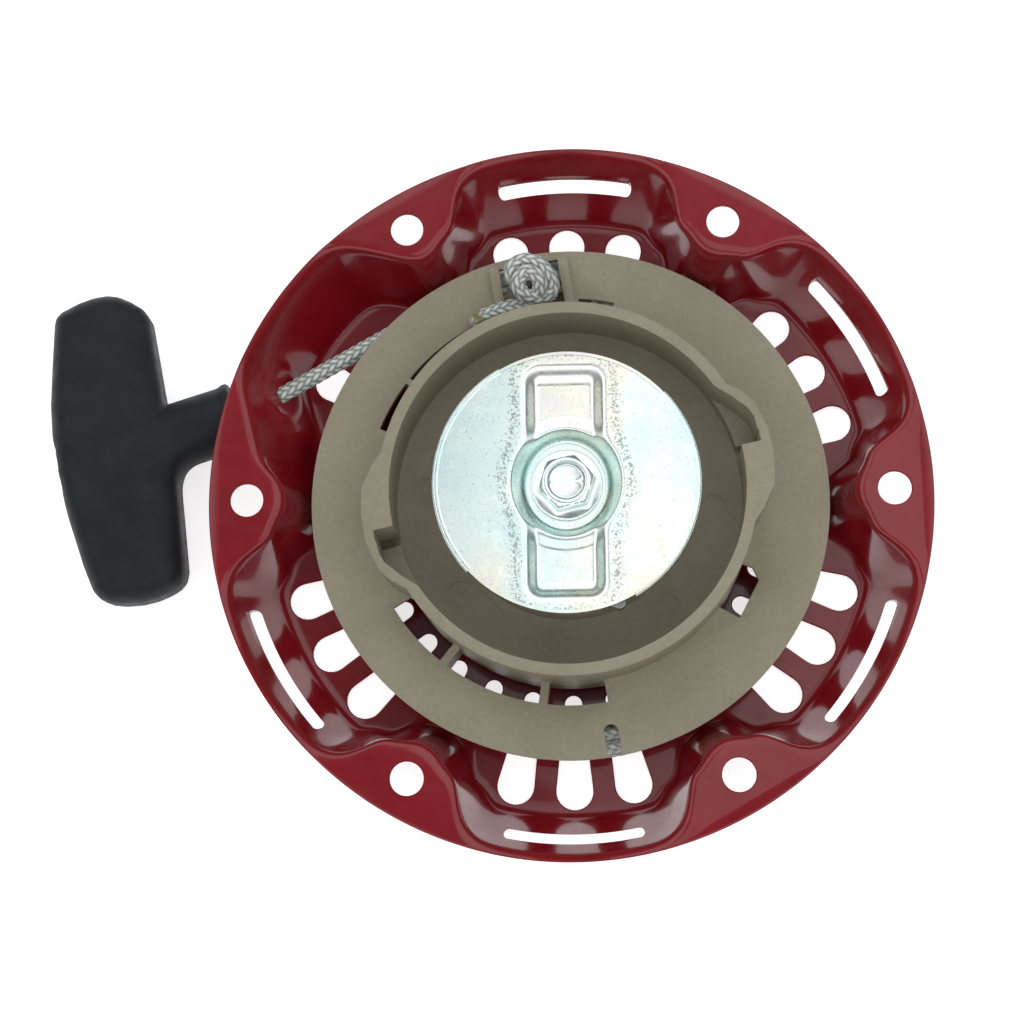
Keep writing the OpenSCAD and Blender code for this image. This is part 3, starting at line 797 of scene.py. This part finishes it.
def braided_rope_piece(name, body, nodes, points, radius=ROPE_R, sides=56, step=0.24, burnt_end=False):
    """A braided rope along points. It rides on one body, or stretches between a pair of them."""
    path, along = even_path(points, step)
    tangent = np.gradient(path, axis=0)
    tangent /= np.linalg.norm(tangent, axis=1, keepdims=True)
    side = np.cross(tangent[0], [0.2, 0.3, 1.0])
    frames = []
    for t in tangent:
        side = side - side.dot(t) * t
        side /= np.linalg.norm(side)
        frames.append((side, np.cross(t, side)))
    frames = np.array(frames)
    u = np.arange(sides) / sides
    v = (along / LAY)[:, None]
    height = braid_height(CARRIERS * u + v, CARRIERS * u - v)
    from_end = np.minimum(along, along[-1] - along)
    rounding = np.sqrt(1 - np.clip(1 - from_end / 1.2, 0, 0.9) ** 2)
    r = (radius - 0.38 * (1 - height)) * rounding[:, None]
    circle = (np.cos(2 * np.pi * u)[None, :, None] * frames[:, None, 0]
              + np.sin(2 * np.pi * u)[None, :, None] * frames[:, None, 1])
    rows = path[:, None, :] + r[..., None] * circle
    count, total = len(path), len(path) * sides
    faces = grid_faces(count, sides)
    faces += [[total, (i + 1) % sides, i] for i in range(sides)]
    faces += [[total + 1, total - sides + i, total - sides + (i + 1) % sides] for i in range(sides)]
    piece = new_object(name, np.concatenate([rows.reshape(-1, 3), path[:1], path[-1:]]), faces)
    worn = np.zeros_like(height)
    if burnt_end:
        worn += np.exp(-((along[-1] - along - 2.4) / 1.5) ** 2)[:, None]
    for key, values in (("braid", height), ("burnt", worn)):
        stored = piece.data.attributes.new(key, "FLOAT", "POINT")
        at_ends = 0.4 if key == "braid" else 0
        stored.data.foreach_set("value", np.concatenate([values.ravel(), [0.4, at_ends]]))
    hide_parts(*nodes)
    piece.data.materials.append(ROPE)
    if isinstance(body, str):
        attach(piece, body)
    else:
        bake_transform(piece)
    return piece


KNOT_A = 98.9
GRIP_A = 197
GRIP_AT = HOLE + 2.2 * direction(GRIP_A + 90)
MOUTH = GRIP_AT + 14.1 * direction(GRIP_A)
TANGENT = math.sqrt(HOLE[0] ** 2 + HOLE[1] ** 2 - 68.3 ** 2)
LEAVE_A = math.degrees(math.atan2(*(HOLE - TANGENT * RUN)[1::-1]))


def build_ropes():
    knot = [(61, 1, -11.2), (61.2, 1.6, -5.5), (62.6, 4.6, -1.6), (65.2, 4.6, -0.2), (66.8, 1.4, 0.2),
            (65.2, -2.6, 0.2), (61.2, -5.2, -0.7), (57.4, -4.9, -2.0), (56.2, -1.2, -1.4), (57.2, 2.6, 0.6),
            (60.4, 3.6, 2.0), (62.7, 0.8, 2.6), (60.7, -2.0, 2.3), (57.8, -1.9, 0.2), (55.6, 0.6, -3.2),
            (55.8, 6.4, -4.6)]
    tail_at = [(56.4, 107.6, -5.2), (56.7, 110.6, -5.9), (56.8, 113.6, -6.1), (56.4, 116.4, -6.1),
               (56.0, 118.0, -6.0)]
    tail = [(*polar(r, a - KNOT_A), z) for r, a, z in tail_at]
    braided_rope_piece("rope_knot_and_tail", "reel", ("rope_anchor_knot", "rope_tail"),
                       placed(knot + tail, KNOT_A), radius=2.2, burnt_end=True)
    run = [HOLE + x * RUN for x in (1.8, -4, -14, -26, -40, 2 - TANGENT)]
    braided_rope_piece("rope_run_braid", "housing", ("rope_run",), run)
    pulled = [HOLE + 2.3 * RUN, HOLE + 6 * RUN + (0.1, -0.1, 0), (2 * MOUTH + HOLE) / 3, MOUTH]
    braided_rope_piece("rope_pull_braid", ("housing", "handle"), ("rope_pull",), pulled)
    turns = []
    for step in range(0, 4 * 36 + 1):
        turn, part = divmod(step / 36, 1)
        shift = soft_ramp(np.array((part - 0.9) / 0.1))
        place = [(64.4, -18.2), (64.4, -13.8), (68.3, -13.8), (68.3, -18.2), (68.3, -16.0)]
        here, there = np.array(place[min(int(turn), 3)]), np.array(place[min(int(turn) + 1, 4)])
        r, z = here + shift * (there - here) if turn < 4 else place[4]
        turns.append((*polar(r, LEAVE_A + 10 * step), z))
    braided_rope_piece("rope_winding_braid", "reel", ("rope_wound",), turns, sides=20, step=0.6)


build_ropes()


# ---------------------------------------------------------------- handle

def surface_net(value, low, cell):
    """A quad mesh of the zero level of a grid of values that are negative inside."""
    size = np.array(value.shape) - 1
    corner = [(i, j, k) for i in (0, 1) for j in (0, 1) for k in (0, 1)]
    total, count = np.zeros((*size, 3)), np.zeros(size)

    def at(c):
        return value[c[0]:c[0] + size[0], c[1]:c[1] + size[1], c[2]:c[2] + size[2]]

    for a in corner:
        for b in corner:
            if sum(b) - sum(a) == 1 and all(q >= p for p, q in zip(a, b)):
                va, vb = at(a), at(b)
                crossed = (va < 0) != (vb < 0)
                t = np.where(crossed, va / np.where(crossed, va - vb, 1), 0)
                place = np.array(a) + t[..., None] * (np.array(b) - np.array(a))
                total += place * crossed[..., None]
                count += crossed
    active = count > 0
    index = np.full(size, -1)
    index[active] = np.arange(active.sum())
    points = (np.argwhere(active) + total[active] / count[active][:, None]) * cell + low
    faces = []
    for axis in range(3):
        v = np.moveaxis(value, (axis, (axis + 1) % 3, (axis + 2) % 3), (0, 1, 2)) < 0
        n = np.moveaxis(index, (axis, (axis + 1) % 3, (axis + 2) % 3), (0, 1, 2))
        inner = v[:, 1:-1, 1:-1]
        for here, there, order in ((inner[:-1], ~inner[1:], 1), (~inner[:-1], inner[1:], -1)):
            i, j, k = np.nonzero(here & there)
            quad = np.stack([n[i, j, k], n[i, j + 1, k], n[i, j + 1, k + 1], n[i, j, k + 1]], axis=-1)
            faces.append(quad[:, ::order])
    return points, np.concatenate(faces)


# The crossbar's outline, seen along Z. A measuring script worked these points out: report.md says so.
BAR = [(29.9, -34.4), (30.9, -38.0), (33.5, -41.0), (36.5, -43.6), (39.6, -45.0), (43.5, -45.5),
       (48.0, -45.3), (53.3, -44.3), (55.4, -43.1), (56.4, -41.2), (57.9, -36.7), (60.8, -27.5),
       (63.5, -18.4), (65.6, -8.0), (66.8, 2.3), (67.0, 14.7), (66.7, 28.5), (66.0, 36.1), (64.6, 38.9),
       (62.3, 40.7), (59.2, 42.0), (54.5, 43.1), (50.2, 43.4), (46.3, 43.0), (43.2, 42.2), (41.0, 40.6),
       (39.7, 38.0), (37.0, 23.3), (35.0, 12.0), (32.7, -10.0)]


def outline_distance(x, y, outline):
    """Distance to a closed outline, negative inside."""
    best = np.full(x.shape, 1e9)
    inside = np.zeros(x.shape, bool)
    for (x0, y0), (x1, y1) in zip(outline, outline[1:] + outline[:1]):
        dx, dy = x1 - x0, y1 - y0
        t = np.clip(((x - x0) * dx + (y - y0) * dy) / (dx * dx + dy * dy), 0, 1)
        best = np.minimum(best, np.hypot(x - x0 - t * dx, y - y0 - t * dy))
        if y0 != y1:
            inside ^= ((y0 > y) != (y1 > y)) & (x < x0 + (y - y0) * dx / dy)
    return np.where(inside, -best, best)


def rounded_cut(flat, z, half, edge):
    """An outline's distance raised to a solid with rounded upper and lower edges."""
    a, b = flat + edge, np.abs(z) - half + edge
    return np.hypot(np.maximum(a, 0), np.maximum(b, 0)) + np.minimum(np.maximum(a, b), 0) - edge


FLANK = 0.55
FLANK_LENGTH = 1.14


def build_handle():
    """The grip, as the zero level of a field of distances: a crossbar and a neck, less the rope's bore."""
    cell = 0.62
    low = np.array([11.0, -47.5, -12.6])
    x, y, z = np.meshgrid(*(np.arange(a, b, cell) for a, b in zip(low, (69.5, 46.0, 12.8))), indexing="ij")
    flat = outline_distance(x[..., 0], y[..., 0], BAR)[..., None] + 0 * z
    half = 9.3 + 1.7 * np.exp(-((y - 3) / 26) ** 2)
    bar = rounded_cut(flat, z, half, 7.5)
    ridge = np.interp(y, (-36, -11, 8, 20, 38), (38.4, 41.2, 42.6, 45.6, 46.2))
    flank = (np.abs(z) - half - 0.1 - FLANK * (x - ridge)) / FLANK_LENGTH
    bar = -soft_min(-bar, -flank, 1.6)
    across = np.hypot(y, z)
    neck = np.maximum(across - 9.4, np.abs(x - 30) - 15.9)
    bead = np.hypot(np.maximum(across - 9.2, 0), np.maximum(np.abs(x - 15.3) - 0.4, 0)) - 0.8
    neck = soft_min(neck, bead, 0.5)
    grip = soft_min(bar, neck, 1.4 + 5.6 * ease((y + 5) / 10))
    bore = np.maximum(across - 2.75, x - 56)
    recess = np.maximum(np.hypot(np.maximum(np.abs(y) - 4, 0), z) - 6.5, 54 - x)
    grip = -soft_min(-grip, soft_min(bore, recess, 0.3), 0.9)
    points, faces = surface_net(grip, low, cell)
    handle = new_object("handle_moulding", placed(points, GRIP_A, GRIP_AT), faces)
    modifier(handle, "SMOOTH", factor=0.5, iterations=3)
    apply_modifiers(handle)
    sharpen(handle, 60)
    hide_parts("handle_grip")
    finish_piece(handle, BLACK, "handle")

    inner = [(14.5, 0, 0), (24, 0, 0), (40, 0, 0), (54, 0, 0), (57.2, 0.2, 0.2), (59.8, 2.8, 1.6),
             (60.2, 4.6, -1.2),
             (59.4, 1.4, -3.2), (60.4, -3.2, -2.6), (61.6, -4.4, 0.4), (61.8, -1.6, 2.8), (63.0, 2.2, 0.6),
             (64.2, 1.6, -1.6)]
    braided_rope_piece("rope_in_handle", "handle", ("rope_in_grip", "grip_knot"),
                       placed(inner, GRIP_A, GRIP_AT), radius=2.2, sides=40, step=0.3)


build_handle()

CAD_LOOKS = {
    "recoil_spring": (BLUED, "spring_steel"), "pawl_spring_a": (WIRE, "spring_wire"),
    "pawl_spring_b": (WIRE, "spring_wire"), "friction_spring": (WIRE, "spring_wire"),
}
for node, (material, slot) in CAD_LOOKS.items():
    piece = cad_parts[node]
    piece.data.materials.clear()
    piece.data.materials.append(material)
